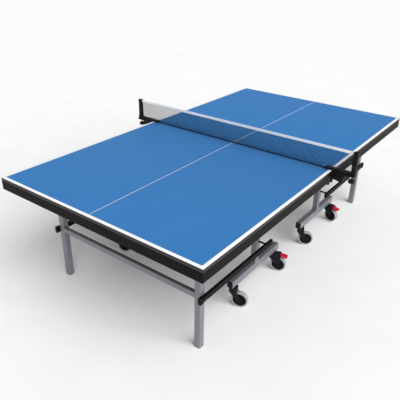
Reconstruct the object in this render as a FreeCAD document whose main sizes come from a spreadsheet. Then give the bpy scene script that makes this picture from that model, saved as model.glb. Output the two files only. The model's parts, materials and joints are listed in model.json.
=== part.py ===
import FreeCAD, Part
import os
import Sketcher

# Rollaway ping pong table in two equal halves, millimetres.
# +X runs along the table, +Y across it and +Z up. The origin is on the floor under the middle of the net.
# Each half folds about fold_axis on its own wheeled carriage, and its struts keep the legs upright.

V = FreeCAD.Vector
UP = V(0, 0, 1)
ALONG = V(1, 0, 0)
ACROSS = V(0, 1, 0)

SIZES = {
    # playing top
    "table_long": 2740,
    "table_wide": 1525,
    "playing_height": 760,
    "board_thick": 22,
    "halves_gap": 6,
    # black steel frame under the board
    "apron_deep": 58,
    "apron_thick": 20,
    "apron_setback": 9,
    "rail_wide": 40,
    "rail_high": 30,
    "middle_rail_x": 790,
    "frame_wall": 1.5,
    "bumper_radius": 12,
    "bumper_drop": 8,
    # linkage: distances from the net, and heights
    "fold_axis_x": 455,
    "leg_axis_x": 1118,
    "pivot_high": 658,
    "link_high": 355,
    # square tubes of the legs and uprights
    "tube_side": 40,
    "tube_wall": 2,
    "tube_round": 4,
    "upright_y": 503,
    "leg_y": 557,
    "foot_thick": 5,
    "leg_bar_low": 343,
    "leg_bar_high": 36,
    "leg_bar_thick": 26,
    # struts and the rod that joins them
    "strut_y": 588,
    "strut_wide": 18,
    "strut_high": 35,
    "strut_past_rod": 50,
    "strut_past_leg": 20,
    "end_block_long": 22,
    "end_block_wide": 20,
    "end_block_high": 42,
    "end_block_round": 3,
    "rod_radius": 6,
    # carriage
    "base_near_x": 168,
    "base_far_x": 737,
    "base_low": 148,
    "base_high": 50,
    "cross_tube_low": 500,
    "cross_tube_high": 50,
    "plug_flange": 3,
    "plug_deep": 60,
    "plug_gap": 0.1,
    # brackets and bolts
    "plate_thick": 4,
    "plate_gap": 0.5,
    "bracket_wide": 50,
    "bracket_round": 18,
    "bolt_radius": 6,
    "link_bolt_radius": 5,
    "link_gap": 0.5,
    "bolt_head_radius": 10,
    "bolt_head_thick": 4,
    "running_gap": 0.05,
    # casters
    "caster_near_x": 210,
    "caster_far_x": 700,
    "caster_trail": 47,
    "left_near_turn": 18,
    "left_far_turn": 18,
    "right_near_turn": 28,
    "right_far_turn": -10,
    "wheel_radius": 54,
    "wheel_wide": 32,
    "hub_radius": 44,
    "hub_wide": 28,
    "hub_web": 10,
    "hub_boss_radius": 12,
    "hub_rim": 6,
    "hub_taper": 2,
    "tread_shoulder": 4,
    "tread_bevel": 3,
    "axle_radius": 4,
    "axle_head_radius": 7,
    "axle_head_thick": 4,
    "fork_wide": 44,
    "fork_slot": 36,
    "fork_top": 140,
    "fork_front": 20,
    "braked_fork_back": 62,
    "plain_fork_back": 30,
    "fork_chin": 110,
    "fork_boss": 14,
    "wheel_room": 58,
    "stem_radius": 6,
    "stem_top": 186,
    "stem_gap": 1,
    "collar_radius": 15,
    "collar_gap": 0.3,
    "pedal_pin_y": 54,
    "pedal_pin_high": 127,
    "pedal_pin_radius": 2.5,
    "pedal_slot": 24,
    "pedal_slot_low": 103,
    "pedal_arm": 23,
    "pedal_ear": 5,
    "pedal_rise": 6,
    "pedal_fall": 3,
    "pedal_belly": 8,
    "pedal_wide": 40,
    "pedal_end_y": 106,
    "pedal_near_y": 65,
    "pedal_thick": 9,
    "shoe_drop": 16,
    "cut_past": 1,
    # net set
    "post_y": 898.5,
    "post_wide": 33,
    "post_thick": 28,
    "net_top": 912.5,
    "post_top": 915,
    "tape_high": 18,
    "tape_thick": 4,
    "net_thick": 2,
    "net_bottom": 766.5,
    "net_gap": 1,
    "net_inset": 2,
    "net_cord_radius": 2.5,
    "arm_end_y": 704,
    "arm_top": 775,
    "arm_wide": 30,
    "arm_gap": 0.3,
    "arm_bevel": 8,
    "clamp_wide": 40,
    "clamp_gap": 2,
    "clamp_low": 700,
    "clamp_bevel": 12,
    "clamp_elbow_y": 838,
    "clamp_toe": 18,
    "clamp_step": 8,
    "clamp_heel": 24,
    "clamp_tail_low": 752,
    "knob_y": 893,
    "knob_radius": 20,
    "knob_high": 18,
    "knob_low": 708,
    "knob_notches": 8,
    "knob_notch_radius": 4,
    "screw_radius": 4,
    "screw_top": 765,
}

doc = FreeCAD.newDocument("PingPongTable")
sheet = doc.addObject("Spreadsheet::Sheet", "Sizes")
for row, (alias, value) in enumerate(SIZES.items(), start=1):
    sheet.set(f"A{row}", alias)
    sheet.set(f"B{row}", str(value))
    sheet.setAlias(f"B{row}", alias)
doc.recompute()

finished = []


def formula(text):
    """A formula's words are the sheet's aliases."""
    words = text.replace("(", " ( ").replace(")", " ) ").split()
    return " ".join(f"Sizes.{word}" if word in SIZES else word for word in words)


def value_of(text):
    return float(sheet.evalExpression(formula(text)))


def bind(obj, **formulas):
    for name, text in formulas.items():
        obj.setExpression(name, formula(text))


def place(obj, x, y, z, turn=None):
    if turn:
        obj.Placement = FreeCAD.Placement(V(), turn)
    for axis, text in (("x", x), ("y", y), ("z", z)):
        obj.setExpression(f"Placement.Base.{axis}", formula(text))


def sub_part(label, pieces, placement=None):
    """The pieces of one named sub-part, each of them a separate solid."""
    part = doc.addObject("Part::Compound", f"{label}_part")
    part.Links = pieces
    part.Label = label
    if placement:
        part.Placement = placement
    finished.append(part)


# primitives


def box(name, size, corner):
    obj = doc.addObject("Part::Box", name)
    bind(obj, Length=size[0], Width=size[1], Height=size[2])
    place(obj, *corner)
    return obj


def rod(name, radius, length, start, axis):
    """A cylinder from its start point along +X, +Y or +Z."""
    obj = doc.addObject("Part::Cylinder", name)
    bind(obj, Radius=radius, Height=length)
    place(obj, *start, FreeCAD.Rotation(UP, axis))
    return obj


def cut(name, base, *tools):
    for index, tool in enumerate(tools):
        step = doc.addObject("Part::Cut", f"{name}_{index}")
        step.Base = base
        step.Tool = tool
        base = step
    return base


def fuse(name, *shapes):
    obj = doc.addObject("Part::MultiFuse", name)
    obj.Shapes = list(shapes)
    return obj


def mirrored(source):
    """The same piece on the other side of the table."""
    obj = doc.addObject("Part::Mirroring", f"{source.Name}_rear")
    obj.Source = source
    obj.Normal = ACROSS
    return obj


def pair(piece):
    return [piece, mirrored(piece)]


def rounded(name, base, axis, radius):
    """Rounds the four edges of a box that run along the axis."""
    doc.recompute()
    obj = doc.addObject("Part::Fillet", name)
    obj.Base = base
    size = value_of(radius)
    obj.Edges = [
        (index, size, size)
        for index, edge in enumerate(base.Shape.Edges, start=1)
        if abs(edge.tangentAt(edge.FirstParameter).dot(axis)) > 0.99
    ]
    return obj


def tube(name, size, corner, axis, wall, radius="tube_round"):
    """A rounded box with a square bore along the axis, open at both ends."""
    outer = rounded(f"{name}_skin", box(f"{name}_bar", size, corner), axis, radius)
    inner_size = []
    inner_corner = []
    for length, start, along in zip(size, corner, axis):
        inset = "0" if along else wall
        inner_size.append(f"{length} - 2 * {inset}")
        inner_corner.append(f"{start} + {inset}")
    return cut(name, outer, box(f"{name}_bore", inner_size, inner_corner))


# sketched pieces


def new_body(name):
    return doc.addObject("PartDesign::Body", name)


def sketch_on(body, name, plane):
    sketch = body.newObject("Sketcher::SketchObject", name)
    origin_plane = next(item for item in body.Origin.OriginFeatures if item.Role == plane)
    sketch.AttachmentSupport = [(origin_plane, "")]
    sketch.MapMode = "FlatFace"
    return sketch


def hold(sketch, geometry, point, x, y):
    """Ties a point of the sketch to its formulas' distances from the origin."""
    for kind, text in (("DistanceX", x), ("DistanceY", y)):
        constraint = Sketcher.Constraint(kind, -1, 1, geometry, point, value_of(text))
        index = sketch.addConstraint(constraint)
        sketch.setExpression(f"Constraints[{index}]", formula(text))


def outline(sketch, corners):
    """Closed straight lines through the corners, each given as two formulas."""
    points = [V(value_of(x), value_of(y), 0) for x, y in corners]
    for start, end in zip(points, points[1:] + points[:1]):
        sketch.addGeometry(Part.LineSegment(start, end), False)
    for index in range(len(points)):
        after = (index + 1) % len(points)
        sketch.addConstraint(Sketcher.Constraint("Coincident", index, 2, after, 1))
    for index, (x, y) in enumerate(corners):
        hold(sketch, index, 1, x, y)


def circle(sketch, x, y, radius):
    centre = V(value_of(x), value_of(y), 0)
    index = sketch.addGeometry(Part.Circle(centre, UP, value_of(radius)), False)
    hold(sketch, index, 3, x, y)
    constraint = sketch.addConstraint(Sketcher.Constraint("Radius", index, value_of(radius)))
    sketch.setExpression(f"Constraints[{constraint}]", formula(radius))


def pad(body, sketch, name, length):
    """Pads the sketch equally to both sides of its plane."""
    feature = body.newObject("PartDesign::Pad", name)
    feature.Profile = sketch
    feature.SideType = "Symmetric"
    bind(feature, Length=length)


def pocket(body, sketch, name, length):
    """Cuts the sketch equally to both sides of its plane, and makes sure that it cut something."""
    doc.recompute()
    before = body.Shape.Volume
    feature = body.newObject("PartDesign::Pocket", name)
    feature.Profile = sketch
    feature.SideType = "Symmetric"
    bind(feature, Length=length)
    doc.recompute()
    if body.Shape.Volume >= before:
        raise ValueError(f"{name} cuts nothing")
    return feature


# one half of the table, drawn on the -X side


def hinge_bolt(name, x, y):
    """A bolt along Y through a hinge's bracket and tube, with a head outside and a nut inside."""
    reach = "tube_side / 2 + plate_gap + plate_thick + plate_gap"
    start = f"{y} - ( {reach} )"
    head_size = ("bolt_head_radius", "bolt_head_thick")
    return fuse(
        name,
        rod(f"{name}_shank", "bolt_radius", f"2 * ( {reach} )", (x, start, "pivot_high"), ACROSS),
        rod(f"{name}_head", *head_size, (x, f"{y} + {reach}", "pivot_high"), ACROSS),
        rod(f"{name}_nut", *head_size, (x, f"{start} - bolt_head_thick", "pivot_high"), ACROSS),
    )


def pivot_tube(name, x, y, low, link_radius):
    """An upright square tube with a round top, drilled for the hinge bolt and for the link below it."""
    corner = (f"{x} - tube_side / 2", f"{y} - tube_side / 2", low)
    size = ("tube_side", "tube_side", f"pivot_high - ( {low} )")
    stem = tube(name, size, corner, UP, "tube_wall")
    head = rod(f"{name}_head", "tube_side / 2", "tube_side", (x, corner[1], "pivot_high"), ACROSS)
    holes = []
    for end, radius, height in (("bolt", "bolt_radius", "pivot_high"), ("link", link_radius, "link_high")):
        start = (x, f"{y} - tube_side", height)
        holes.append(rod(f"{name}_{end}_hole", f"{radius} + running_gap", "2 * tube_side", start, ACROSS))
    return cut(f"{name}_drilled", fuse(f"{name}_joined", stem, head), *holes)


def bracket(name, x, y):
    """A U of plate that hangs from a cross rail and holds a tube's round top between its two sides."""
    body = new_body(name)
    side = "tube_side + 2 * plate_gap + 2 * plate_thick"
    under_rail = "playing_height - board_thick - rail_high"
    profile = sketch_on(body, f"{name}_profile", "XZ_Plane")
    outline(
        profile,
        [
            ("0 - bracket_wide / 2", under_rail),
            ("bracket_wide / 2", under_rail),
            ("bracket_round", "pivot_high"),
            ("0 - bracket_round", "pivot_high"),
        ],
    )
    pad(body, profile, f"{name}_plates", side)
    eye = sketch_on(body, f"{name}_eye", "XZ_Plane")
    circle(eye, "0", "pivot_high", "bracket_round")
    pad(body, eye, f"{name}_ends", side)
    gap = sketch_on(body, f"{name}_gap", "XZ_Plane")
    outline(
        gap,
        [
            ("0 - bracket_wide", f"{under_rail} - plate_thick"),
            ("bracket_wide", f"{under_rail} - plate_thick"),
            ("bracket_wide", "pivot_high - 2 * bracket_round"),
            ("0 - bracket_wide", "pivot_high - 2 * bracket_round"),
        ],
    )
    pocket(body, gap, f"{name}_channel", "tube_side + 2 * plate_gap")
    hole = sketch_on(body, f"{name}_hole", "XZ_Plane")
    circle(hole, "0", "pivot_high", "bolt_radius + running_gap")
    pocket(body, hole, f"{name}_bore", "2 * tube_side")
    place(body, x, y, "0")
    return body


def top_pieces(side, turn):
    board_low = "playing_height - board_thick"
    apron_low = "playing_height - board_thick - apron_deep"
    net_edge = "halves_gap / 2 + apron_setback"
    board = box(
        f"{side}_board_box",
        ("( table_long - halves_gap ) / 2", "table_wide", "board_thick"),
        ("0 - table_long / 2", "0 - table_wide / 2", board_low),
    )
    sub_part(f"{side}_board", [board], turn)

    side_apron = tube(
        f"{side}_side_apron",
        (f"table_long / 2 - ( {net_edge} )", "apron_thick", "apron_deep"),
        ("0 - table_long / 2", "0 - table_wide / 2", apron_low),
        ALONG,
        "frame_wall",
        "frame_wall",
    )
    sub_part(f"{side}_side_aprons", pair(side_apron), turn)

    between = "table_wide - 2 * apron_thick"
    inner_face = "0 - table_wide / 2 + apron_thick"
    ends = []
    for name, x in (("outer", "0 - table_long / 2"), ("net", f"0 - ( {net_edge} ) - apron_thick")):
        size = ("apron_thick", between, "apron_deep")
        corner = (x, inner_face, apron_low)
        ends.append(tube(f"{side}_{name}_apron", size, corner, ACROSS, "frame_wall", "frame_wall"))
    sub_part(f"{side}_end_aprons", ends, turn)

    rails = []
    for name, x in (("fold", "fold_axis_x"), ("middle", "middle_rail_x"), ("leg", "leg_axis_x")):
        size = ("rail_wide", between, "rail_high")
        corner = (f"0 - {x} - rail_wide / 2", inner_face, f"{board_low} - rail_high")
        rails.append(tube(f"{side}_{name}_rail", size, corner, ACROSS, "frame_wall", "frame_wall"))
    sub_part(f"{side}_cross_rails", rails, turn)

    brackets = []
    for name, x, y in (("fold", "fold_axis_x", "upright_y"), ("leg", "leg_axis_x", "leg_y")):
        for face, sign in (("front", "0 -"), ("rear", "0 +")):
            brackets.append(bracket(f"{side}_{name}_bracket_{face}", f"0 - {x}", f"{sign} {y}"))
    sub_part(f"{side}_hinge_brackets", brackets, turn)

    disc_middle = f"0 - ( {net_edge} ) - bumper_radius"
    disc_start = (disc_middle, "0 - table_wide / 2", f"{apron_low} - bumper_drop")
    disc = rod(f"{side}_bumper_disc", "bumper_radius", "apron_thick", disc_start, ACROSS)
    above_apron_edge = box(
        f"{side}_bumper_top",
        ("2 * bumper_radius", "apron_thick", "bumper_radius"),
        (f"{disc_middle} - bumper_radius", "0 - table_wide / 2", apron_low),
    )
    sub_part(f"{side}_corner_bumpers", pair(cut(f"{side}_bumper", disc, above_apron_edge)), turn)


def leg_pieces(side, turn):
    leg_x = "0 - leg_axis_x"
    leg = pivot_tube(f"{side}_leg", leg_x, "leg_y", "foot_thick", "link_bolt_radius")
    sub_part(f"{side}_legs", pair(leg), turn)

    foot_side = "tube_side - plug_gap"
    foot = rounded(
        f"{side}_foot",
        box(
            f"{side}_foot_box",
            (foot_side, foot_side, "foot_thick"),
            (f"{leg_x} - ( {foot_side} ) / 2", f"leg_y - ( {foot_side} ) / 2", "0"),
        ),
        UP,
        "tube_round",
    )
    sub_part(f"{side}_leg_feet", pair(foot), turn)

    crossbar = tube(
        f"{side}_leg_bar",
        ("leg_bar_thick", "2 * leg_y - tube_side", "leg_bar_high"),
        (f"{leg_x} - tube_side / 2", "tube_side / 2 - leg_y", "leg_bar_low"),
        ACROSS,
        "tube_wall",
    )
    sub_part(f"{side}_leg_crossbar", [crossbar], turn)

    hinge = hinge_bolt(f"{side}_leg_bolt", leg_x, "leg_y")
    shank_start = "leg_y - tube_side / 4"
    strut_face = "strut_y + strut_wide / 2 + plate_gap"
    shank = rod(
        f"{side}_link_shank",
        "link_bolt_radius",
        f"{strut_face} - ( {shank_start} )",
        (leg_x, shank_start, "link_high"),
        ACROSS,
    )
    head_start = (leg_x, strut_face, "link_high")
    head = rod(f"{side}_link_head", "bolt_head_radius", "bolt_head_thick", head_start, ACROSS)
    link = fuse(f"{side}_link", shank, head)
    sub_part(f"{side}_leg_bolts", pair(hinge) + pair(link), turn)


def strut_pieces(side, turn):
    size = ("leg_axis_x + strut_past_leg - fold_axis_x + strut_past_rod", "strut_wide", "strut_high")
    corner = (
        "0 - leg_axis_x - strut_past_leg",
        "strut_y - strut_wide / 2",
        "link_high - strut_high / 2",
    )
    bar = tube(f"{side}_strut", size, corner, ALONG, "frame_wall", "tube_wall")
    holes = []
    for name, x, radius in (
        ("rod", "fold_axis_x", "rod_radius + running_gap"),
        ("link", "leg_axis_x", "link_bolt_radius + link_gap"),
    ):
        start = (f"0 - {x}", "strut_y - strut_wide", "link_high")
        holes.append(rod(f"{side}_strut_{name}_hole", radius, "2 * strut_wide", start, ACROSS))
    strut = cut(f"{side}_strut_drilled", bar, *holes)
    end_block = rounded(
        f"{side}_end_block",
        box(
            f"{side}_end_block_box",
            ("end_block_long", "end_block_wide", "end_block_high"),
            (
                "0 - leg_axis_x - strut_past_leg - end_block_long",
                "strut_y - end_block_wide / 2",
                "link_high - end_block_high / 2",
            ),
        ),
        ALONG,
        "end_block_round",
    )
    half_rod = "strut_y + strut_wide / 2 + bolt_head_thick"
    rod_start = ("0 - fold_axis_x", f"0 - ( {half_rod} )", "link_high")
    cross_rod = rod(f"{side}_rod", "rod_radius", f"2 * ( {half_rod} )", rod_start, ACROSS)
    sub_part(f"{side}_struts_and_rod", pair(strut) + pair(end_block) + [cross_rod], turn)


def carriage_pieces(side, turn):
    base_top = "base_low + base_high"
    size = ("base_far_x - base_near_x", "tube_side", "base_high")
    corner = ("0 - base_far_x", "upright_y - tube_side / 2", "base_low")
    bar = tube(f"{side}_base", size, corner, ALONG, "tube_wall")
    holes = []
    for x in ("caster_near_x", "caster_far_x"):
        start = (f"0 - {x}", "upright_y", "base_low - tube_wall")
        holes.append(rod(f"{side}_base_{x}_hole", "stem_radius + stem_gap", "3 * tube_wall", start, UP))
    sub_part(f"{side}_base_tubes", pair(cut(f"{side}_base_drilled", bar, *holes)), turn)

    sub_part(
        f"{side}_uprights",
        pair(pivot_tube(f"{side}_upright", "0 - fold_axis_x", "upright_y", base_top, "rod_radius")),
        turn,
    )
    cross_tube = tube(
        f"{side}_cross_tube",
        ("tube_side", "2 * upright_y - tube_side", "cross_tube_high"),
        ("0 - fold_axis_x - tube_side / 2", "tube_side / 2 - upright_y", "cross_tube_low"),
        ACROSS,
        "tube_wall",
    )
    sub_part(f"{side}_carriage_cross_tube", [cross_tube], turn)

    inside = "plug_gap + tube_wall"
    plugs = []
    for name, x, flange_x, stem in (
        ("far", "0 - base_far_x", "0 - base_far_x - plug_flange", "caster_far_x"),
        ("near", "0 - base_near_x - plug_deep", "0 - base_near_x", "caster_near_x"),
    ):
        core = box(
            f"{side}_{name}_plug_core",
            ("plug_deep", f"tube_side - 2 * ( {inside} )", f"base_high - 2 * ( {inside} )"),
            (x, f"upright_y - tube_side / 2 + {inside}", f"base_low + {inside}"),
        )
        flange = box(
            f"{side}_{name}_plug_flange",
            ("plug_flange", "tube_side", "base_high"),
            (flange_x, "upright_y - tube_side / 2", "base_low"),
        )
        socket = rod(
            f"{side}_{name}_plug_socket",
            "stem_radius + running_gap",
            "stem_top + stem_gap - base_low",
            (f"0 - {stem}", "upright_y", "base_low"),
            UP,
        )
        joined = fuse(f"{side}_{name}_plug_joined", core, flange)
        plugs += pair(cut(f"{side}_{name}_plug", joined, socket))
    sub_part(f"{side}_tube_plugs", plugs, turn)

    sub_part(f"{side}_fold_bolts", pair(hinge_bolt(f"{side}_fold_bolt", "0 - fold_axis_x", "upright_y")), turn)


# casters, each drawn with its swivel axis at the origin and trailing towards -Y


def fork_piece(name, braked):
    """A moulded hood whose two cheeks reach down to the axle, hollow where the wheel turns."""
    body = new_body(f"{name}_fork_body")
    back = "braked_fork_back" if braked else "plain_fork_back"
    side = sketch_on(body, f"{name}_fork_side", "YZ_Plane")
    outline(
        side,
        [
            ("fork_front", "fork_top"),
            (f"0 - {back}", "fork_top"),
            (f"0 - {back}", "fork_chin"),
            ("0 - caster_trail - fork_boss", "wheel_radius"),
            ("0 - caster_trail + fork_boss", "wheel_radius"),
            ("fork_front", "fork_chin"),
        ],
    )
    pad(body, side, f"{name}_fork_hood", "fork_wide")
    boss = sketch_on(body, f"{name}_fork_boss", "YZ_Plane")
    circle(boss, "0 - caster_trail", "wheel_radius", "fork_boss")
    pad(body, boss, f"{name}_fork_ends", "fork_wide")
    room = sketch_on(body, f"{name}_fork_room", "YZ_Plane")
    circle(room, "0 - caster_trail", "wheel_radius", "wheel_room")
    pocket(body, room, f"{name}_fork_hollow", "fork_slot")
    bore = sketch_on(body, f"{name}_fork_bore", "YZ_Plane")
    circle(bore, "0 - caster_trail", "wheel_radius", "axle_radius")
    pocket(body, bore, f"{name}_fork_axle_hole", "2 * fork_wide")
    if braked:
        slot = sketch_on(body, f"{name}_fork_slot", "YZ_Plane")
        outline(
            slot,
            [
                (f"0 - {back} - cut_past", "fork_top + cut_past"),
                ("0 - pedal_pin_y + 4 * pedal_pin_radius", "fork_top + cut_past"),
                ("0 - pedal_pin_y + 4 * pedal_pin_radius", "pedal_slot_low"),
                (f"0 - {back} - cut_past", "pedal_slot_low"),
            ],
        )
        pocket(body, slot, f"{name}_fork_pedal_slot", "pedal_slot")
        pin_hole = sketch_on(body, f"{name}_fork_pin_hole", "YZ_Plane")
        circle(pin_hole, "0 - pedal_pin_y", "pedal_pin_high", "pedal_pin_radius")
        pocket(body, pin_hole, f"{name}_fork_pin_bore", "2 * fork_wide")
    return body


def caster(name, x, y, turn, braked):
    """A fork with its stem and axle, a wheel on the axle and, on some, a brake pedal."""
    where = FreeCAD.Placement(V(value_of(x), value_of(y), 0), FreeCAD.Rotation(UP, value_of(turn)))
    collar_top = "base_low - collar_gap"
    stem = fuse(
        f"{name}_stem",
        rod(f"{name}_collar", "collar_radius", f"{collar_top} - fork_top", ("0", "0", "fork_top"), UP),
        rod(f"{name}_pin", "stem_radius", "stem_top - fork_top", ("0", "0", "fork_top"), UP),
    )
    half = "fork_wide / 2"
    axle_parts = []
    for piece, radius, length, start in (
        ("shank", "axle_radius", "fork_wide", f"0 - {half}"),
        ("head", "axle_head_radius", "axle_head_thick", half),
        ("nut", "axle_head_radius", "axle_head_thick", f"0 - {half} - axle_head_thick"),
    ):
        middle = (start, "0 - caster_trail", "wheel_radius")
        axle_parts.append(rod(f"{name}_{piece}", radius, length, middle, ALONG))
    axle = fuse(f"{name}_axle", *axle_parts)
    pieces = [fork_piece(name, braked), stem, axle]
    if braked:
        start = (f"0 - {half}", "0 - pedal_pin_y", "pedal_pin_high")
        pieces.append(rod(f"{name}_pedal_pin", "pedal_pin_radius", "fork_wide", start, ALONG))
    sub_part(f"{name}_fork", pieces, where)
    wheel(name, where)
    if braked:
        pedal(name, where)


def wheel(name, where):
    """A dished plastic hub that turns on the axle, with a soft tread round it."""
    solids = []
    hub_edge = "hub_wide / 2"
    web_edge = "hub_web / 2"
    tread_inner = "hub_radius + running_gap"
    shoulder = "wheel_wide / 2"
    profiles = {
        "hub": [
            (hub_edge, "axle_radius + running_gap"),
            (hub_edge, "hub_boss_radius"),
            (web_edge, "hub_boss_radius + hub_taper"),
            (web_edge, "hub_radius - hub_rim"),
            (hub_edge, "hub_radius - hub_rim + hub_taper"),
            (hub_edge, "hub_radius"),
        ],
        "tread": [
            (hub_edge, tread_inner),
            (shoulder, "hub_radius + tread_shoulder"),
            (shoulder, "wheel_radius - tread_bevel"),
            (f"{shoulder} - tread_bevel", "wheel_radius"),
        ],
    }
    for piece, right_side in profiles.items():
        body = new_body(f"{name}_{piece}")
        profile = sketch_on(body, f"{name}_{piece}_profile", "XY_Plane")
        left_side = [(f"0 - ( {x} )", radius) for x, radius in reversed(right_side)]
        outline(profile, right_side + left_side)
        turned = body.newObject("PartDesign::Revolution", f"{name}_{piece}_turned")
        turned.Profile = profile
        turned.ReferenceAxis = (profile, ["H_Axis"])
        turned.Angle = 360
        place(body, "0", "0 - caster_trail", "wheel_radius")
        solids.append(body)
    sub_part(f"{name}_wheel", solids, where)


def pedal(name, where):
    """A foot pad on an arm that turns about the pin at the back of the hood, with a shoe over the tread."""
    body = new_body(f"{name}_pedal_body")
    arm = sketch_on(body, f"{name}_pedal_arm", "YZ_Plane")
    shoe_tip = "pedal_pin_high - shoe_drop"
    outline(
        arm,
        [
            ("0 - pedal_pin_y + pedal_ear", "pedal_pin_high + pedal_ear"),
            ("0 - pedal_near_y", "pedal_pin_high + pedal_rise"),
            ("0 - pedal_near_y - pedal_ear", "pedal_pin_high"),
            ("0 - pedal_near_y", "pedal_pin_high - pedal_ear"),
            ("0 - pedal_pin_y - pedal_ear", "pedal_pin_high - pedal_belly"),
            ("0 - pedal_pin_y - pedal_ear", shoe_tip),
            ("0 - pedal_pin_y", shoe_tip),
        ],
    )
    pad(body, arm, f"{name}_pedal_lever", "pedal_arm")
    plate = sketch_on(body, f"{name}_pedal_plate", "YZ_Plane")
    outline(
        plate,
        [
            ("0 - pedal_near_y", "pedal_pin_high + pedal_rise"),
            ("0 - pedal_end_y", "pedal_pin_high - pedal_fall"),
            ("0 - pedal_end_y", "pedal_pin_high - pedal_fall - pedal_thick"),
            ("0 - pedal_near_y", "pedal_pin_high + pedal_rise - pedal_thick"),
        ],
    )
    pad(body, plate, f"{name}_pedal_pad", "pedal_wide")
    bore = sketch_on(body, f"{name}_pedal_bore", "YZ_Plane")
    circle(bore, "0 - pedal_pin_y", "pedal_pin_high", "pedal_pin_radius + running_gap")
    pocket(body, bore, f"{name}_pedal_pin_hole", "2 * fork_wide")
    sub_part(f"{name}_pedal", [body], where)


# net set


def clamp(name):
    """An arm that lies over the board's edge, with a deep jaw outside it and a socket for the post."""
    body = new_body(name)
    jaw = sketch_on(body, f"{name}_jaw_side", "YZ_Plane")
    jaw_face = "table_wide / 2 + clamp_gap"
    post_edge = "post_y + post_wide / 2"
    arm_low = "playing_height + arm_gap"
    outline(
        jaw,
        [
            (jaw_face, arm_low),
            (jaw_face, "clamp_low + clamp_bevel"),
            ("clamp_elbow_y - clamp_toe", "clamp_low"),
            ("clamp_elbow_y", "clamp_low + clamp_step"),
            ("clamp_elbow_y + clamp_heel", "clamp_tail_low"),
            (post_edge, "clamp_tail_low"),
            (post_edge, arm_low),
        ],
    )
    pad(body, jaw, f"{name}_jaw", "clamp_wide")
    arm = sketch_on(body, f"{name}_arm_side", "YZ_Plane")
    outline(
        arm,
        [
            ("arm_end_y", arm_low),
            (post_edge, arm_low),
            (post_edge, "arm_top"),
            ("arm_end_y + arm_bevel", "arm_top"),
            ("arm_end_y", "arm_top - arm_bevel"),
        ],
    )
    pad(body, arm, f"{name}_arm", "arm_wide")
    hole_deep = "screw_top + cut_past - clamp_low"
    hole_start = ("0", "knob_y", "clamp_low")
    screw_hole = rod(f"{name}_hole", "screw_radius + running_gap", hole_deep, hole_start, UP)
    return cut(f"{name}_drilled", body, screw_hole)


def knob(name):
    """A round grip with notches and a screw above it."""
    body = new_body(name)
    disc = sketch_on(body, f"{name}_disc", "XY_Plane")
    circle(disc, "0", "0", "knob_radius")
    pad(body, disc, f"{name}_grip", "knob_high")
    notch = sketch_on(body, f"{name}_notch", "XY_Plane")
    circle(notch, "knob_radius + knob_notch_radius / 2", "0", "knob_notch_radius")
    first = pocket(body, notch, f"{name}_first_notch", "2 * knob_high")
    ring = body.newObject("PartDesign::PolarPattern", f"{name}_notches")
    ring.Originals = [first]
    ring.Axis = (disc, ["N_Axis"])
    ring.Angle = 360
    bind(ring, Occurrences="knob_notches")
    body.Tip = ring
    place(body, "0", "knob_y", "knob_low + knob_high / 2")
    screw = rod(
        f"{name}_screw",
        "screw_radius",
        "screw_top - knob_low - knob_high",
        ("0", "knob_y", "knob_low + knob_high"),
        UP,
    )
    return fuse(f"{name}_joined", body, screw)


def net_set():
    inner_face = "post_y - post_wide / 2"
    post = rounded(
        "net_post",
        box(
            "net_post_box",
            ("post_thick", "post_wide", "post_top - arm_top"),
            ("0 - post_thick / 2", inner_face, "arm_top"),
        ),
        UP,
        "tube_round",
    )
    sub_part("net_posts", pair(post))
    sub_part("net_clamps", pair(clamp("net_clamp")))
    front_knob = knob("clamp_knob")
    sub_part("clamp_knob_rear", [front_knob])
    sub_part("clamp_knob_front", [mirrored(front_knob)])

    span = f"2 * ( {inner_face} )"
    start = f"0 - ( {inner_face} )"
    tape_low = "net_top - tape_high"
    over_arms = "arm_top + net_gap"
    between_arms = "2 * ( arm_end_y - net_inset )"
    low_part = box(
        "net_mesh_low",
        ("net_thick", between_arms, f"{over_arms} - net_bottom"),
        ("0 - net_thick / 2", "net_inset - arm_end_y", "net_bottom"),
    )
    high_part = box(
        "net_mesh_high",
        ("net_thick", span, f"{tape_low} - ( {over_arms} )"),
        ("0 - net_thick / 2", start, over_arms),
    )
    sub_part("net_mesh", [fuse("net_mesh_joined", low_part, high_part)])
    tape = box(
        "net_tape_box",
        ("tape_thick", span, "tape_high"),
        ("0 - tape_thick / 2", start, tape_low),
    )
    sub_part("net_tape", [rounded("net_tape_folded", tape, ACROSS, "net_thick / 2")])
    cord = rod(
        "net_cord_line",
        "net_cord_radius",
        between_arms,
        ("0", "net_inset - arm_end_y", "net_bottom - net_cord_radius"),
        ACROSS,
    )
    sub_part("net_cord", [cord])


HALF_TURNS = {
    "left": FreeCAD.Placement(),
    "right": FreeCAD.Placement(V(), FreeCAD.Rotation(UP, 180)),
}
for side, turn in HALF_TURNS.items():
    top_pieces(side, turn)
    leg_pieces(side, turn)
    strut_pieces(side, turn)
    carriage_pieces(side, turn)

# On each half the brakes are on two casters that face each other cornerwise.
BRAKED = {
    ("left", "front", "near"),
    ("left", "rear", "far"),
    ("right", "front", "far"),
    ("right", "rear", "near"),
}
for side, side_sign in (("left", "0 -"), ("right", "0 +")):
    for face, face_sign in (("front", "0 -"), ("rear", "0 +")):
        for end, stem_x in (("near", "caster_near_x"), ("far", "caster_far_x")):
            caster(
                f"{side}_{face}_{end}",
                f"{side_sign} {stem_x}",
                f"{face_sign} upright_y",
                f"{side}_{end}_turn",
                (side, face, end) in BRAKED,
            )

net_set()
doc.recompute()

for obj in doc.Objects:
    if {"Invalid", "Error"} & set(obj.State):
        raise ValueError(f"{obj.Name} failed: {obj.State}")
os.makedirs("parts", exist_ok=True)
for part in finished:
    if part.Shape.isNull() or not part.Shape.isValid():
        raise ValueError(f"{part.Label} has no valid shape")
for part in finished:
    part.Shape.exportStep(f"parts/{part.Label}.step")
print(len(finished), "sub-parts written")
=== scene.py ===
import json
import math

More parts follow.
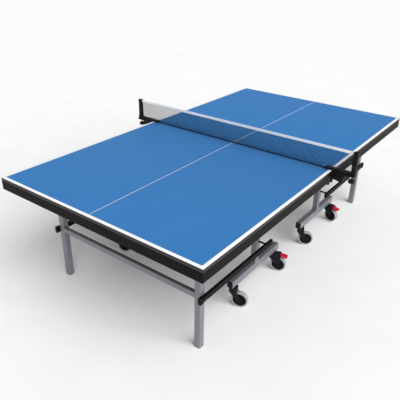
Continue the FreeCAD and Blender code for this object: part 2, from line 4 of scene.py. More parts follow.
import bmesh
import bpy
from mathutils import Matrix, Quaternion, Vector


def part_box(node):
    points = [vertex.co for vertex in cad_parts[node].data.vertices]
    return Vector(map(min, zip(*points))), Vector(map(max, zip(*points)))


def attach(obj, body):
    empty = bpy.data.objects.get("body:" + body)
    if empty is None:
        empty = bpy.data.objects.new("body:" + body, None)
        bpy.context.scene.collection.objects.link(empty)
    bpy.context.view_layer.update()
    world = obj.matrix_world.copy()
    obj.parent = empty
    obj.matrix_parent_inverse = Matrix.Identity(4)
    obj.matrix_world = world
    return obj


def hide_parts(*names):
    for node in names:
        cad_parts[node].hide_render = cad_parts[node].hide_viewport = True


# Looks of the rollaway ping pong table, in metres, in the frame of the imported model.
# +X runs along the table, +Y across it and +Z up.
# The right half is the left one turned round the middle of the net.

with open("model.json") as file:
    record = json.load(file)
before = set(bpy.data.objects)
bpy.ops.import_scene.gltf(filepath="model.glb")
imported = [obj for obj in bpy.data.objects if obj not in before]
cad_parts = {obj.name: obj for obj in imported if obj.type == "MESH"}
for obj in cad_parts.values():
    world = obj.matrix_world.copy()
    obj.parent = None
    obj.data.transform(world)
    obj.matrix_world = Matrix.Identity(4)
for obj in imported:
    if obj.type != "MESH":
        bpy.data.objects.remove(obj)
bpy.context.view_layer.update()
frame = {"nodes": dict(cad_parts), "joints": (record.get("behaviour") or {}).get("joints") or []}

ALONG = Vector((1, 0, 0))
ACROSS = Vector((0, 1, 0))
UP = Vector((0, 0, 1))
STAY = Matrix.Identity(4)
HALVES = {"left": STAY, "right": Matrix.Rotation(math.pi, 4, "Z")}

# playing top
EDGE_LINE = 0.020
CENTRE_LINE = 0.003
BOARD_SOFTNESS = 0.0012
TOP_FACING = 0.3
APRON_THICK = 0.020
APRON_SOFTNESS = 0.0012
ROLLER_STEP = 0.001
ROLLER_ROUND = 0.003
ROLLER_END = 0.70
ROLLER_SHOULDER = 0.94
ROLLER_GROOVE = 0.93

# tubes and bolts
CAD_SOFTNESS = 0.0010
TUBE_SIDE = 0.040
BEAD_RADIUS = 0.0020
BEAD_SIDES = 6
WELD_CORNER = 0.004
GLIDE_CORNER = 0.004
PLUG_CORNER = 0.004
HINGE_REACH = 0.025
HINGE_SHANK = 0.006
LINK_SHANK = 0.005
HEAD_RADIUS = 0.010
HEAD_THICK = 0.004
WASHER_THICK = 0.0012
HEX_RADIUS = 0.0092

# casters
FORK_SOFTNESS = 0.0015
WHEEL_RADIUS = 0.054
TREAD_HALF = 0.016
TREAD_GROOVE = 0.0008
GROOVE_AT = 0.0052
HUB_RADIUS = 0.044
HUB_HALF = 0.014
HUB_WEB = 0.005
BOSS_RADIUS = 0.011
BORE_RADIUS = 0.0041
SPOKES = 8
SPOKE_WIDE = 0.004
SPOKE_HIGH = 0.0075
PEDAL_RIBS = 5
RIB_START = 0.016
RIB_PITCH = 0.0072
RIB_LONG = 0.032
RIB_WIDE = 0.0026
RIB_HIGH = 0.0018
RIB_SINK = 0.0005
PAD_NEAR = Vector((0, -0.011, 0.006))
PAD_END = Vector((0, -0.052, -0.003))

# net
CLAMP_SOFTNESS = 0.0012
TAPE_SOFTNESS = 0.0005
POST_WIDE = 0.033
POST_CORNER = 0.005
ARM_GAP = 0.001
MESH_PITCH = 0.008
STRING_RADIUS = 0.0010
STRING_SIDES = 5
WEAVE = 0.0004
STITCH_PITCH = 0.006
STITCH_LONG = 0.0035
STITCH_WIDE = 0.0009
STITCH_HIGH = 0.0004
STITCH_INSET = 0.003
CORD_TWIST = 0.016
CORD_STRANDS = 3
CORD_LOBE = 0.14
CORD_SIDES = 12
CORD_RINGS = 10

# steps round a large circle, a small one, a corner and a softened edge
ROUND_STEPS = 48
SMALL_STEPS = 20
CORNER_STEPS = 4
EDGE_STEPS = 2

# an edge sharper than this many degrees is drawn sharp, or softened
DRAWN_SHARP = 35
BOARD_SHARP = 30
CAD_SHARP = 40

# the wave texture runs through this many radians a metre at scale 1
WAVE_RADIANS = 20


# materials


class Surface:
    """A procedural material whose textures stay with the object."""

    def __init__(self, name, roughness=0.5, metallic=0.0, **sockets):
        self.material = bpy.data.materials.new(name)
        self.material.use_nodes = True
        self.tree = self.material.node_tree
        self.shader = self.tree.nodes["Principled BSDF"]
        self.place = self.node("TexCoord").outputs["Object"]
        self.set(self.shader, Roughness=roughness, Metallic=metallic, **sockets)

    def node(self, kind, **inputs):
        made = self.tree.nodes.new(f"ShaderNode{kind}")
        self.set(made, **inputs)
        return made

    def set(self, node, **inputs):
        for name, value in inputs.items():
            socket = node.inputs[name.replace("_", " ")]
            if isinstance(value, bpy.types.NodeSocket):
                self.tree.links.new(value, socket)
            else:
                socket.default_value = value

    def noise(self, scale, detail=3.0, stretch=(1, 1, 1)):
        """Cloudy noise with this many features a metre, drawn out along an axis where stretch is small."""
        where = self.node("Mapping", Vector=self.place, Scale=stretch).outputs["Vector"]
        return self.node("TexNoise", Vector=where, Scale=scale, Detail=detail).outputs["Fac"]

    def flecks(self, scale):
        """A value for each small cell, with this many cells a metre."""
        cells = self.node("TexVoronoi", Vector=self.place, Scale=scale)
        return self.node("SeparateColor", Color=cells.outputs["Color"]).outputs["Red"]

    def bands(self, scale, direction):
        """Regular ridges across a direction, with about this many a metre."""
        wave = self.node("TexWave", Vector=self.place, Scale=scale * math.tau / WAVE_RADIANS)
        wave.bands_direction = direction
        return wave.outputs["Fac"]

    def math(self, operation, first, second):
        made = self.tree.nodes.new("ShaderNodeMath")
        made.operation = operation
        for socket, value in zip(made.inputs, (first, second)):
            if isinstance(value, bpy.types.NodeSocket):
                self.tree.links.new(value, socket)
            else:
                socket.default_value = value
        return made.outputs["Value"]

    def blend(self, first, second, share):
        """This share of the first value and the rest of the second."""
        part = self.math("MULTIPLY", first, share)
        rest = self.math("MULTIPLY", second, 1 - share)
        return self.math("ADD", part, rest)

    def ramp(self, value, stops):
        """Colours at their positions along a value."""
        made = self.node("ValToRGB", Fac=value)
        elements = made.color_ramp.elements
        while len(elements) < len(stops):
            elements.new(0.5)
        for element, (position, colour) in zip(elements, stops):
            element.position = position
            element.color = (*colour, 1.0)
        return made.outputs["Color"]

    def colour(self, value, *stops):
        self.set(self.shader, Base_Color=self.ramp(value, stops))

    def rough(self, value, low, high):
        spread = self.node("MapRange", Value=value)
        self.set(spread, To_Min=low, To_Max=high)
        self.set(self.shader, Roughness=spread.outputs["Result"])

    def bump(self, height, depth, strength=1.0):
        """Raises the surface by up to depth metres."""
        made = self.node("Bump", Height=height, Distance=depth, Strength=strength)
        self.set(self.shader, Normal=made.outputs["Normal"])


def painted_board():
    """Matt roller-coated paint: a fine pebbled skin with faint streaks along the roller's run."""
    made = Surface("blue_paint", Specular_IOR_Level=0.2)
    streaks = made.noise(9, 3, stretch=(0.3, 1.5, 1))
    grain = made.noise(900, 2)
    made.colour(made.blend(streaks, grain, 0.7), (0.2, (0.030, 0.170, 0.440)), (0.8, (0.036, 0.186, 0.472)))
    made.rough(grain, 0.42, 0.58)
    made.bump(grain, 0.00012)
    return made.material


def line_paint():
    """White line paint over the blue, thin where the pebbled skin stands up."""
    made = Surface("line_paint", Specular_IOR_Level=0.4)
    grain = made.noise(700, 3)
    made.colour(grain, (0.25, (0.78, 0.80, 0.83)), (0.6, (0.90, 0.91, 0.92)))
    made.rough(grain, 0.40, 0.55)
    made.bump(grain, 0.00010)
    return made.material


def edge_band():
    """The sealed edge and underside of the board, with the faint grain of the wood below."""
    made = Surface("edge_band")
    grain = made.noise(160, 5, stretch=(0.15, 0.15, 2.5))
    made.colour(grain, (0.3, (0.006, 0.005, 0.004)), (0.75, (0.014, 0.012, 0.010)))
    made.rough(grain, 0.45, 0.62)
    made.bump(grain, 0.00015)
    return made.material


def powder_coat(name, dark, light, rough, metallic=0.0, shine=0.45):
    """Baked powder: an orange-peel skin with fine flecks and slight wear."""
    made = Surface(name, metallic=metallic, Specular_IOR_Level=shine)
    peel = made.noise(420, 2)
    wear = made.noise(9, 6)
    flecks = made.flecks(1600)
    made.colour(made.blend(wear, flecks, 0.6), (0.25, dark), (0.75, light))
    made.rough(made.blend(peel, wear, 0.5), *rough)
    made.bump(peel, 0.00020)
    return made.material


def zinc():
    """Bright plated steel with a drawn grain and dull patches."""
    made = Surface("zinc", metallic=0.9)
    drawn = made.noise(260, 3, stretch=(1, 0.08, 1))
    patches = made.noise(70, 4)
    made.colour(patches, (0.3, (0.38, 0.39, 0.40)), (0.7, (0.62, 0.63, 0.65)))
    made.rough(drawn, 0.25, 0.48)
    made.bump(drawn, 0.00005)
    return made.material


def moulded(name, dark, light, grain_scale=650, rough=(0.38, 0.55)):
    """Moulded plastic with a spark-eroded grain."""
    made = Surface(name, Specular_IOR_Level=0.15)
    grain = made.noise(grain_scale, 2)
    flow = made.noise(22, 3)
    made.colour(flow, (0.3, dark), (0.7, light))
    made.rough(grain, *rough)
    made.bump(grain, 0.00015)
    return made.material


def soft_tread():
    """Soft grey tread, a little dirty, with fine lines round it from the mould."""
    made = Surface("soft_tread", Specular_IOR_Level=0.3)
    dirt = made.noise(60, 5)
    rings = made.bands(900, "X")
    made.colour(dirt, (0.3, (0.29, 0.29, 0.30)), (0.65, (0.35, 0.35, 0.36)))
    made.rough(dirt, 0.55, 0.75)
    made.bump(made.math("ADD", rings, dirt), 0.00012)
    return made.material


def rubber():
    made = Surface("rubber", Specular_IOR_Level=0.3)
    dust = made.noise(90, 5)
    made.colour(dust, (0.35, (0.010, 0.010, 0.010)), (0.75, (0.035, 0.034, 0.033)))
    made.rough(dust, 0.62, 0.80)
    made.bump(made.noise(500, 2), 0.00010)
    return made.material


def twisted_string():
    """Dark nylon twine, with the twist of its yarns."""
    made = Surface("twisted_string", Specular_IOR_Level=0.1)
    twist = made.bands(1400, "DIAGONAL")
    fuzz = made.noise(1500, 2)
    mixed = made.math("MULTIPLY", twist, fuzz)
    made.colour(mixed, (0.1, (0.003, 0.005, 0.010)), (0.6, (0.010, 0.014, 0.026)))
    made.rough(fuzz, 0.6, 0.8)
    made.bump(twist, 0.00010)
    return made.material


def woven_tape():
    """White woven tape: threads along and across it."""
    made = Surface("woven_tape", Specular_IOR_Level=0.25)
    made.set(made.shader, Sheen_Weight=0.25)
    weave = made.math("MULTIPLY", made.bands(1100, "Y"), made.bands(1100, "Z"))
    soil = made.noise(25, 4)
    made.colour(made.blend(weave, soil, 0.4), (0.2, (0.84, 0.86, 0.88)), (0.6, (0.95, 0.96, 0.97)))
    made.rough(weave, 0.65, 0.85)
    made.bump(weave, 0.00025)
    return made.material


BLUE = painted_board()
WHITE = line_paint()
EDGE = edge_band()
BLACK_COAT = powder_coat(
    "black_coat", (0.003, 0.0025, 0.002), (0.007, 0.006, 0.005), (0.45, 0.6), shine=0.08
)
SILVER_COAT = powder_coat("silver_coat", (0.18, 0.185, 0.21), (0.24, 0.245, 0.275), (0.34, 0.46), 0.45)
ZINC = zinc()
BLACK_BOLT = powder_coat("black_bolt", (0.010, 0.010, 0.011), (0.030, 0.030, 0.032), (0.28, 0.42), 0.5)
BLACK_PLASTIC = moulded("black_plastic", (0.004, 0.004, 0.005), (0.010, 0.010, 0.012))
HUB_PLASTIC = moulded("hub_plastic", (0.005, 0.005, 0.006), (0.012, 0.012, 0.014), 400, (0.30, 0.45))
RED_PLASTIC = moulded("red_plastic", (0.42, 0.012, 0.035), (0.56, 0.020, 0.055), 500, (0.32, 0.48))
TREAD = soft_tread()
RUBBER = rubber()
STRING = twisted_string()
TAPE = woven_tape()


# mesh work


def loft(bm, rings, closed=False, capped=True):
    """Quads between rings of points; closed joins the last ring to the first."""
    made = [[bm.verts.new(point) for point in ring] for ring in rings]
    pairs = list(zip(made, made[1:]))
    if closed:
        pairs.append((made[-1], made[0]))
    for first, second in pairs:
        for index in range(len(first)):
            after = (index + 1) % len(first)
            bm.faces.new((first[index], first[after], second[after], second[index]))
    if capped and not closed:
        bm.faces.new(list(reversed(made[0])))
        bm.faces.new(made[-1])


def basis(axis):
    """Two directions across an axis."""
    side = axis.cross(UP) if abs(axis.z) < 0.9 else ALONG.copy()
    side.normalize()
    return side, axis.cross(side)


def disc(centre, axis, radius, steps):
    side, up = basis(axis)
    turns = (math.tau * index / steps for index in range(steps))
    return [centre + side * radius * math.cos(turn) + up * radius * math.sin(turn) for turn in turns]


def lathe(bm, centre, axis, profile, steps=ROUND_STEPS, closed=False):
    """A round shape from (distance along the axis, radius) pairs."""
    rings = [disc(centre + axis * along, axis, radius, steps) for along, radius in profile]
    loft(bm, rings, closed=closed)


def rounded_outline(wide, high, radius):
    """A rectangle round the origin with round corners."""
    corners = ((1, 1, 0), (-1, 1, 90), (-1, -1, 180), (1, -1, 270))
    points = []
    for side, level, start in corners:
        for index in range(CORNER_STEPS + 1):
            turn = math.radians(start + 90 * index / CORNER_STEPS)
            x = side * (wide / 2 - radius) + radius * math.cos(turn)
            y = level * (high / 2 - radius) + radius * math.sin(turn)
            points.append((x, y))
    return points


def stack(bm, centre, axis, layers, radius):
    """A rounded rectangle drawn along an axis; each layer gives its place on the axis and its two sides."""
    side, up = basis(axis)
    rings = []
    for along, wide, high in layers:
        outline = rounded_outline(wide, high, min(radius, wide / 2.1, high / 2.1))
        rings.append([centre + axis * along + side * x + up * y for x, y in outline])
    loft(bm, rings)


def rib(bm, start, end, up, wide, high):
    """A bar with a slanted top along a line, standing up from it."""
    along = (end - start).normalized()
    side = along.cross(up)
    rings = []
    for point in (start, end):
        foot = [point - side * wide / 2, point + side * wide / 2]
        rings.append([*foot, foot[1] + up * high - side * wide / 4, foot[0] + up * high + side * wide / 4])
    loft(bm, rings)


def weld(bm, centre, axis, wide, high):
    """A bead of weld round a tube where it meets another one."""
    side, up = basis(axis)
    rings = []
    for x, y in rounded_outline(wide, high, WELD_CORNER):
        point = centre + side * x + up * y
        outward = (side * x / wide + up * y / high).normalized()
        turns = (math.tau * index / BEAD_SIDES for index in range(BEAD_SIDES))
        rings.append(
            [point + (outward * math.cos(turn) + axis * math.sin(turn)) * BEAD_RADIUS for turn in turns]
        )
    loft(bm, rings, closed=True)


def soften(bm, width):
    """Rounds every sharp edge of the board."""
    bmesh.ops.recalc_face_normals(bm, faces=bm.faces)
    limit = math.radians(BOARD_SHARP)
    edges = [edge for edge in bm.edges if edge.is_manifold and edge.calc_face_angle() > limit]
    bmesh.ops.bevel(
        bm, geom=edges, offset=width, segments=EDGE_STEPS, profile=0.5, affect="EDGES", clamp_overlap=True
    )


def piece(name, bm, body, material, replaced=(), at=STAY):
    """Puts a mesh in its place as an object that rides on a body and stands for CAD nodes."""
    bmesh.ops.recalc_face_normals(bm, faces=bm.faces)
    mesh = bpy.data.meshes.new(name)
    bm.to_mesh(mesh)
    bm.free()
    mesh.transform(at)
    mesh.shade_smooth()
    mesh.set_sharp_from_angle(angle=math.radians(DRAWN_SHARP))
    for made in material if isinstance(material, (list, tuple)) else (material,):
        mesh.materials.append(made)
    obj = bpy.data.objects.new(name, mesh)
    bpy.context.scene.collection.objects.link(obj)
    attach(obj, body)
    if replaced:
        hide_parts(*replaced)
    return obj


def clad(node, material, softness=CAD_SOFTNESS):
    """A CAD node keeps its shape and gets softened edges and a better material."""
    obj = frame["nodes"][node]
    obj.data.materials.clear()
    obj.data.materials.append(material)
    bevel = obj.modifiers.new("softened", "BEVEL")
    bevel.width = softness
    bevel.segments = EDGE_STEPS
    bevel.limit_method = "ANGLE"
    bevel.angle_limit = math.radians(CAD_SHARP)


# playing top


def board(side):
    """The board with its painted lines: white along the outer edges, and a thin one down the middle."""
    low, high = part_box("left_board")
    xs = [low.x, low.x + EDGE_LINE, high.x]
    ys = [low.y, low.y + EDGE_LINE, -CENTRE_LINE / 2, CENTRE_LINE / 2, high.y - EDGE_LINE, high.y]
    bm = bmesh.new()
    top = [[bm.verts.new((x, y, high.z)) for y in ys] for x in xs]
    for column, next_column in zip(top, top[1:]):
        for index in range(len(ys) - 1):
            bm.faces.new((column[index], next_column[index], next_column[index + 1], column[index + 1]))
    rim = [column[0] for column in top] + top[-1][1:]
    rim += [column[-1] for column in reversed(top[:-1])] + list(reversed(top[0][1:-1]))
    under = {}
    for vert in rim:
        under[vert] = bm.verts.new((vert.co.x, vert.co.y, low.z))
    for vert, after in zip(rim, rim[1:] + rim[:1]):
        bm.faces.new((vert, after, under[after], under[vert]))
    bm.faces.new([under[vert] for vert in reversed(rim)])
    soften(bm, BOARD_SOFTNESS)
    bm.normal_update()
    lines = ((ys[0], ys[1]), (ys[2], ys[3]), (ys[4], ys[5]))
    for face in bm.faces:
        middle = face.calc_center_median()
        in_line = middle.x < xs[1] or any(start <= middle.y <= end for start, end in lines)
        if face.normal.z < TOP_FACING:
            face.material_index = 2
        elif in_line:
            face.material_index = 1
    piece(f"{side}_playing_board", bm, f"{side}_top",
          (BLUE, WHITE, EDGE), [f"{side}_board"], HALVES[side])


def apron_ring(side):
    """The four apron tubes of a half as one welded ring with mitred corners."""
    low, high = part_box("left_side_aprons")
    soft = APRON_SOFTNESS
    outline = [(soft, 0), (APRON_THICK - soft, 0), (APRON_THICK, soft)]
    tall = high.z - low.z
    outline += [(APRON_THICK, tall - soft), (APRON_THICK - soft, tall)]
    outline += [(soft, tall), (0, tall - soft), (0, soft)]
    bm = bmesh.new()
    rings = []
    for x, y, inward_x, inward_y in (
        (low.x, low.y, 1, 1),
        (high.x, low.y, -1, 1),
        (high.x, high.y, -1, -1),
        (low.x, high.y, 1, -1),
    ):
        corner = [Vector((x + inward_x * inset, y + inward_y * inset, low.z + z)) for inset, z in outline]
        rings.append(corner)
    loft(bm, rings, closed=True)
    replaced = [f"{side}_side_aprons", f"{side}_end_aprons"]
    piece(f"{side}_apron_ring", bm, f"{side}_top", BLACK_COAT, replaced, HALVES[side])


def bumpers(side):
    """A ribbed rubber roller below each net-end corner, flat where it meets the apron."""
    low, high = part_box("left_corner_bumpers")
    radius = (high.x - low.x) / 2
    middle = APRON_THICK / 2
    half = [(0, radius * ROLLER_END), (ROLLER_STEP, radius * ROLLER_SHOULDER)]
    half += [(ROLLER_ROUND, radius), (middle - ROLLER_STEP, radius)]
    groove = (middle, radius * ROLLER_GROOVE)
    profile = [*half, groove, *((APRON_THICK - along, reach) for along, reach in reversed(half))]
    bm = bmesh.new()
    for y in (low.y, high.y - APRON_THICK):
        centre = Vector(((low.x + high.x) / 2, y, low.z + radius))
        lathe(bm, centre, ACROSS, profile, SMALL_STEPS)
    whole = bm.verts[:] + bm.edges[:] + bm.faces[:]
    flat = bmesh.ops.bisect_plane(
        bm, geom=whole, plane_co=Vector((0, 0, high.z)), plane_no=UP, clear_outer=True
    )
    rim = [item for item in flat["geom_cut"] if isinstance(item, bmesh.types.BMEdge)]
    bmesh.ops.holes_fill(bm, edges=rim)
    piece(f"{side}_corner_rollers", bm, f"{side}_top", RUBBER,
          [f"{side}_corner_bumpers"], HALVES[side])


def hex_head(bm, centre, axis):
    """A washer and a six-sided head with chamfered corners, outwards along the axis."""
    # each pair is a place on the axis and the radius there
    washer = [(0, HEAD_RADIUS * 0.96), (0.0002, HEAD_RADIUS), (WASHER_THICK, HEAD_RADIUS * 0.97)]
    lathe(bm, centre, axis, washer, SMALL_STEPS)
    head = [(WASHER_THICK, HEX_RADIUS), (HEAD_THICK * 0.8, HEX_RADIUS), (HEAD_THICK, HEX_RADIUS * 0.82)]
    lathe(bm, centre, axis, head, 6)


def hinge_bolts(bm, x, y, z):
    """A bolt through each of two hinges, with a head outside and a nut inside."""
    for face in (-1, 1):
        outward = ACROSS * face
        centre = Vector((x, face * y, z))
        lathe(bm, centre, outward, [(-HINGE_REACH, HINGE_SHANK), (HINGE_REACH, HINGE_SHANK)], SMALL_STEPS)
        for way in (outward, -outward):
            hex_head(bm, centre + way * HINGE_REACH, way)


def bolts(side):
    """Hinge bolts of the legs and carriage, and the bolts that join the struts to the legs."""
    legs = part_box("left_legs")
    leg_x = (legs[0].x + legs[1].x) / 2
    leg_y = legs[1].y - TUBE_SIDE / 2
    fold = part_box("left_fold_bolts")
    fold_middle = (fold[0] + fold[1]) / 2
    bm = bmesh.new()
    hinge_bolts(bm, leg_x, leg_y, fold_middle.z)
    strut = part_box("left_struts_and_rod")
    link_z = (strut[0].z + strut[1].z) / 2
    outer_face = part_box("left_leg_bolts")[1].y - HEAD_THICK
    inner_end = leg_y - TUBE_SIDE / 4
    for face in (-1, 1):
        outward = ACROSS * face
        start = Vector((leg_x, face * inner_end, link_z))
        lathe(bm, start, outward, [(0, LINK_SHANK), (outer_face - inner_end, LINK_SHANK)], SMALL_STEPS)
        hex_head(bm, start + outward * (outer_face - inner_end), outward)
    piece(f"{side}_leg_hex_bolts", bm, f"{side}_leg_frame", BLACK_BOLT,
          [f"{side}_leg_bolts"], HALVES[side])
    bm = bmesh.new()
    hinge_bolts(bm, fold_middle.x, fold[1].y - HEAD_THICK - HINGE_REACH, fold_middle.z)
    piece(f"{side}_fold_hex_bolts", bm, f"{side}_carriage", ZINC,
          [f"{side}_fold_bolts"], HALVES[side])


def welds(side):
    """Beads of weld at the ends of the crossbars and at the feet of the uprights."""
    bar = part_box("left_leg_crossbar")
    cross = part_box("left_carriage_cross_tube")
    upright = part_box("left_uprights")
    for name, body, (low, high) in (("leg", "leg_frame", bar), ("carriage", "carriage", cross)):
        bm = bmesh.new()
        middle = (low + high) / 2
        size = high - low
        for face in (-1, 1):
            end = Vector((middle.x, face * (high.y - BEAD_RADIUS / 2), middle.z))
            weld(bm, end, ACROSS, size.x - BEAD_RADIUS, size.z)
            if name == "carriage":
                foot_y = face * (upright[1].y - TUBE_SIDE / 2)
                foot = Vector((middle.x, foot_y, upright[0].z + BEAD_RADIUS / 2))
                weld(bm, foot, UP, TUBE_SIDE - BEAD_RADIUS, TUBE_SIDE - BEAD_RADIUS)
        piece(f"{side}_{name}_welds", bm, f"{side}_{body}", SILVER_COAT, at=HALVES[side])


def feet(side):
    """A moulded glide under each leg, rounded at the floor."""
    low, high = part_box("left_leg_feet")
    wide = high.x - low.x
    thick = high.z - low.z
    bm = bmesh.new()
    for face in (-1, 1):
        centre = Vector(((low.x + high.x) / 2, face * (high.y - wide / 2), low.z))
        # height over the floor, and how much narrower the glide is there
        layers = ((0, 0.006), (0.0008, 0.002), (0.002, 0), (thick - 0.001, 0), (thick, 0.001))
        stack(bm, centre, UP, [(z, wide - inset, wide - inset) for z, inset in layers], GLIDE_CORNER)
    piece(f"{side}_foot_glides", bm, f"{side}_leg_frame", RUBBER,
          [f"{side}_leg_feet"], HALVES[side])


def plugs(side):
    """A domed cap in each end of the base tubes, on a core inside."""
    low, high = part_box("left_tube_plugs")
    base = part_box("left_base_tubes")
    tall = high.z - low.z
    middle_z = (low.z + high.z) / 2
    bm = bmesh.new()
    for face in (-1, 1):
        for end, outward in ((base[0].x, -1), (base[1].x, 1)):
            centre = Vector((end, face * (high.y - TUBE_SIDE / 2), middle_z))
            # distance out of the tube, and how much narrower the plug is there
            layers = [(0.003, 0.016), (0.0026, 0.008), (0.0015, 0.002), (0.0005, 0), (0, 0)]
            layers += [(0, 0.0045), (-0.012, 0.0045), (-0.014, 0.006)]
            sizes = [(at, TUBE_SIDE - inset, tall - inset) for at, inset in layers]
            stack(bm, centre, ALONG * outward, sizes, PLUG_CORNER)
    piece(f"{side}_domed_plugs", bm, f"{side}_carriage", BLACK_PLASTIC,
          [f"{side}_tube_plugs"], HALVES[side])


for side in HALVES:
    board(side)
    apron_ring(side)
    bumpers(side)
    bolts(side)
    welds(side)
    feet(side)
    plugs(side)
    for node in ("cross_rails", "hinge_brackets", "struts_and_rod"):
        clad(f"{side}_{node}", BLACK_COAT)
    for node in ("legs", "leg_crossbar", "uprights", "base_tubes", "carriage_cross_tube"):
        clad(f"{side}_{node}", SILVER_COAT)


# casters


def both_sides(profile):
    """A wheel's section, mirrored to the other side of its middle."""
    return profile + [(-along, radius) for along, radius in reversed(profile)]


def wheel(name, at):
    """A soft tread with two grooves on a dished hub with spokes, drawn with its axle at the origin."""
    tread = [
        (HUB_HALF, HUB_RADIUS),
        (TREAD_HALF, HUB_RADIUS + 0.003),
        (TREAD_HALF, WHEEL_RADIUS - 0.004),
        (TREAD_HALF - 0.0012, WHEEL_RADIUS - 0.0012),
        (TREAD_HALF - 0.004, WHEEL_RADIUS),
        (GROOVE_AT + TREAD_GROOVE, WHEEL_RADIUS),
        (GROOVE_AT, WHEEL_RADIUS - TREAD_GROOVE),
        (GROOVE_AT - TREAD_GROOVE, WHEEL_RADIUS),
    ]
    hub = [
        (HUB_HALF - 0.001, BORE_RADIUS),
        (HUB_HALF, BORE_RADIUS + 0.001),
        (HUB_HALF, BOSS_RADIUS),
        (HUB_HALF - 0.002, BOSS_RADIUS + 0.0015),
        (HUB_WEB, BOSS_RADIUS + 0.003),
        (HUB_WEB, HUB_RADIUS - 0.010),
        (HUB_HALF - 0.002, HUB_RADIUS - 0.006),
        (HUB_HALF, HUB_RADIUS - 0.0045),
        (HUB_HALF, HUB_RADIUS - 0.001),
        (HUB_HALF - 0.001, HUB_RADIUS - 0.0002),
    ]
    bm = bmesh.new()
    lathe(bm, Vector(), ALONG, both_sides(tread), closed=True)
    tread_faces = len(bm.faces)
    lathe(bm, Vector(), ALONG, both_sides(hub), closed=True)
    for outward in (-ALONG, ALONG):
        for index in range(SPOKES):
            turn = math.tau * index / SPOKES
            direction = Vector((0, math.cos(turn), math.sin(turn)))
            foot = outward * (HUB_WEB - 0.001)
            start = foot + direction * BOSS_RADIUS
            end = foot + direction * (HUB_RADIUS - 0.006)
            rib(bm, start, end, outward, SPOKE_WIDE, SPOKE_HIGH)
    for index, face in enumerate(bm.faces):
        face.material_index = 0 if index < tread_faces else 1
    piece(f"{name}_spoked_wheel", bm, f"{name}_roller", (TREAD, HUB_PLASTIC),
          [f"{name}_wheel"], at)


def pedal_ribs(name, at):
    """Grip ribs across the top of the foot pad, drawn with the pedal's pin at the origin."""
    slope = (PAD_END.z - PAD_NEAR.z) / (PAD_END.y - PAD_NEAR.y)
    bm = bmesh.new()
    for index in range(PEDAL_RIBS):
        y = -RIB_START - RIB_PITCH * index
        start = Vector((-RIB_LONG / 2, y, PAD_NEAR.z + (y - PAD_NEAR.y) * slope - RIB_SINK))
        rib(bm, start, start + ALONG * RIB_LONG, UP, RIB_WIDE, RIB_HIGH)
    piece(f"{name}_pedal_ribs", bm, f"{name}_brake", RED_PLASTIC, at=at)


JOINTS = {joint["name"]: joint for joint in frame["joints"]}


def joint_frame(joint):
    """Where a caster's part is drawn: its origin on the joint, and +X along the joint's axis."""
    turn = math.atan2(joint["axis"][1], joint["axis"][0])
    return Matrix.Translation(joint["pos_m"]) @ Matrix.Rotation(turn, 4, "Z")


for name in [joint.removesuffix("_roll") for joint in JOINTS if joint.endswith("_roll")]:
    clad(f"{name}_fork", BLACK_PLASTIC, FORK_SOFTNESS)
    wheel(name, joint_frame(JOINTS[f"{name}_roll"]))
    if f"{name}_brake_press" in JOINTS:
        clad(f"{name}_pedal", RED_PLASTIC)
        pedal_ribs(name, joint_frame(JOINTS[f"{name}_brake_press"]))


# net set


def net():
    """A square mesh of strings that pass over and under each other, deeper between the clamps' arms."""
    low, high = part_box("net_mesh")
    arm_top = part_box("net_posts")[0].z + ARM_GAP
    half = high.y - STRING_RADIUS
    inner_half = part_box("net_cord")[1].y - STRING_RADIUS
    columns = round(2 * half / MESH_PITCH)
    rows = round((high.z - low.z) / MESH_PITCH)
    column_pitch = 2 * half / columns
    row_pitch = (high.z - low.z - 2 * STRING_RADIUS) / rows
    ys = [-half + column_pitch * index for index in range(columns + 1)]
    zs = [low.z + STRING_RADIUS + row_pitch * index for index in range(rows + 1)]
    bm = bmesh.new()

    def strand(points, axis):
        rings = [disc(point, axis, STRING_RADIUS, STRING_SIDES) for point in points]
        loft(bm, rings, capped=False)

    for column, y in enumerate(ys):
        start = 0 if abs(y) <= inner_half else next(row for row, z in enumerate(zs) if z > arm_top)
        points = [
            Vector((WEAVE * (-1) ** (row + column), y, z)) for row, z in enumerate(zs) if row >= start
        ]
        strand(points, UP)
    for row, z in enumerate(zs):
        reach = half if z > arm_top else inner_half
        points = [
            Vector((-WEAVE * (-1) ** (row + column), y, z))
            for column, y in enumerate(ys)
            if abs(y) <= reach
        ]
        strand(points, ACROSS)
    made = piece("net_strings", bm, "net_set", STRING, ["net_mesh"])
    area = 2 * half * (high.z - arm_top) + 2 * inner_half * (arm_top - low.z)
    return made, (2 * half, high.z - low.z), area


net_strings, net_flat, net_area = net()
clad("net_tape", TAPE, TAPE_SOFTNESS)


def stitches():
    """A row of stitches near each edge of the tape, on both faces."""
    low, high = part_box("net_tape")
    count = int((high.y - low.y) / STITCH_PITCH)
    bm = bmesh.new()
    for face in (-1, 1):
        for level in (low.z + STITCH_INSET, high.z - STITCH_INSET):
            for index in range(count):
                y = low.y + STITCH_PITCH * (index + 0.5)
                start = Vector((face * (high.x - STITCH_HIGH), y - STITCH_LONG / 2, level))
                rib(bm, start, start + ACROSS * STITCH_LONG, ALONG * face, STITCH_WIDE, STITCH_HIGH)
    piece("tape_stitches", bm, "net_set", TAPE)


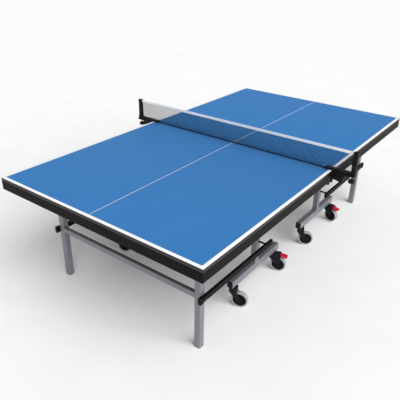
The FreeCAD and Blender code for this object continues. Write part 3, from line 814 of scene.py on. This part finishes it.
def cord():
    """A cord of three strands twisted together."""
    low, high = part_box("net_cord")
    centre_z = (low.z + high.z) / 2
    radius = (high.z - low.z) / 2
    steps = int((high.y - low.y) / CORD_TWIST * CORD_RINGS)
    rings = []
    for step in range(steps + 1):
        share = step / steps
        y = low.y + (high.y - low.y) * share
        twist = math.tau * (high.y - low.y) * share / CORD_TWIST
        ring = []
        for index in range(CORD_SIDES):
            turn = math.tau * index / CORD_SIDES
            reach = radius * (1 - CORD_LOBE + CORD_LOBE * math.cos(CORD_STRANDS * (turn - twist)))
            ring.append(Vector((reach * math.cos(turn), y, centre_z + reach * math.sin(turn))))
        rings.append(ring)
    bm = bmesh.new()
    loft(bm, rings)
    return piece("twisted_cord", bm, "net_set", STRING, ["net_cord"])


def posts():
    """A moulded post with a collar at its foot, shallow tapered sides and a cap."""
    low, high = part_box("net_posts")
    size_x = high.x - low.x
    tall = high.z - low.z
    bm = bmesh.new()
    for face in (-1, 1):
        centre = Vector((0, face * (high.y - POST_WIDE / 2), low.z))
        # height over the foot, and how much narrower the post is there
        layers = [(0, 0), (0.010, 0), (0.012, 0.002), (0.014, 0.003), (tall - 0.014, 0.0045)]
        layers += [(tall - 0.012, 0.0005), (tall - 0.004, 0), (tall - 0.001, 0.002), (tall, 0.006)]
        stack(bm, centre, UP, [(z, size_x - inset, POST_WIDE - inset) for z, inset in layers], POST_CORNER)
    piece("moulded_posts", bm, "net_set", BLACK_PLASTIC, ["net_posts"])


stitches()
net_cord = cord()
posts()
for node in ("net_clamps", "clamp_knob_front", "clamp_knob_rear"):
    clad(node, BLACK_PLASTIC, CLAMP_SOFTNESS)


# studio


FLOOR_SIZE = 90
CAMERA_AT = Vector((-2.76505, -1.78795, 2.00654))
CAMERA_HEADING = math.radians(36.904)
CAMERA_TILT = math.radians(27.587)
CAMERA_ROLL = math.radians(0.8006)
CAMERA_LENS = 43.617
WORLD_STRENGTH = 0.40


def studio_floor():
    """A pale floor with a faint mottle, far larger than the view."""
    made = Surface("studio_floor", roughness=0.8)
    made.colour(made.noise(3, 4), (0.3, (0.86, 0.86, 0.86)), (0.7, (0.89, 0.89, 0.89)))
    mesh = bpy.data.meshes.new("studio_floor")
    reach = FLOOR_SIZE / 2
    corners = [(-reach, -reach, 0), (reach, -reach, 0), (reach, reach, 0), (-reach, reach, 0)]
    mesh.from_pydata(corners, [], [(0, 1, 2, 3)])
    mesh.materials.append(made.material)
    floor = bpy.data.objects.new("studio_floor", mesh)
    bpy.context.scene.collection.objects.link(floor)


def sun(name, strength, heading, height, softness):
    """Light from a compass heading and a height over the floor, all in degrees."""
    light = bpy.data.lights.new(name, "SUN")
    light.energy = strength
    light.angle = math.radians(softness)
    obj = bpy.data.objects.new(name, light)
    level = math.cos(math.radians(height))
    turn = math.radians(heading)
    source = Vector((level * math.cos(turn), level * math.sin(turn), math.sin(math.radians(height))))
    obj.rotation_mode = "QUATERNION"
    obj.rotation_quaternion = source.to_track_quat("Z", "Y")
    bpy.context.scene.collection.objects.link(obj)


def camera():
    level = math.cos(CAMERA_TILT)
    ahead = level * math.cos(CAMERA_HEADING)
    aside = level * math.sin(CAMERA_HEADING)
    look = Vector((ahead, aside, -math.sin(CAMERA_TILT)))
    data = bpy.data.cameras.new("camera")
    data.lens = CAMERA_LENS
    data.clip_end = FLOOR_SIZE
    obj = bpy.data.objects.new("camera", data)
    obj.location = CAMERA_AT
    obj.rotation_mode = "QUATERNION"
    obj.rotation_quaternion = look.to_track_quat("-Z", "Y") @ Quaternion((0, 0, 1), CAMERA_ROLL)
    bpy.context.scene.collection.objects.link(obj)
    bpy.context.scene.camera = obj


world = bpy.data.worlds.new("studio")
world.use_nodes = True
world.node_tree.nodes["Background"].inputs["Color"].default_value = (1, 1, 1, 1)
world.node_tree.nodes["Background"].inputs["Strength"].default_value = WORLD_STRENGTH
bpy.context.scene.world = world
bpy.context.scene.view_settings.view_transform = "Standard"
studio_floor()
sun("key", strength=3.7, heading=-105, height=39, softness=65)
camera()
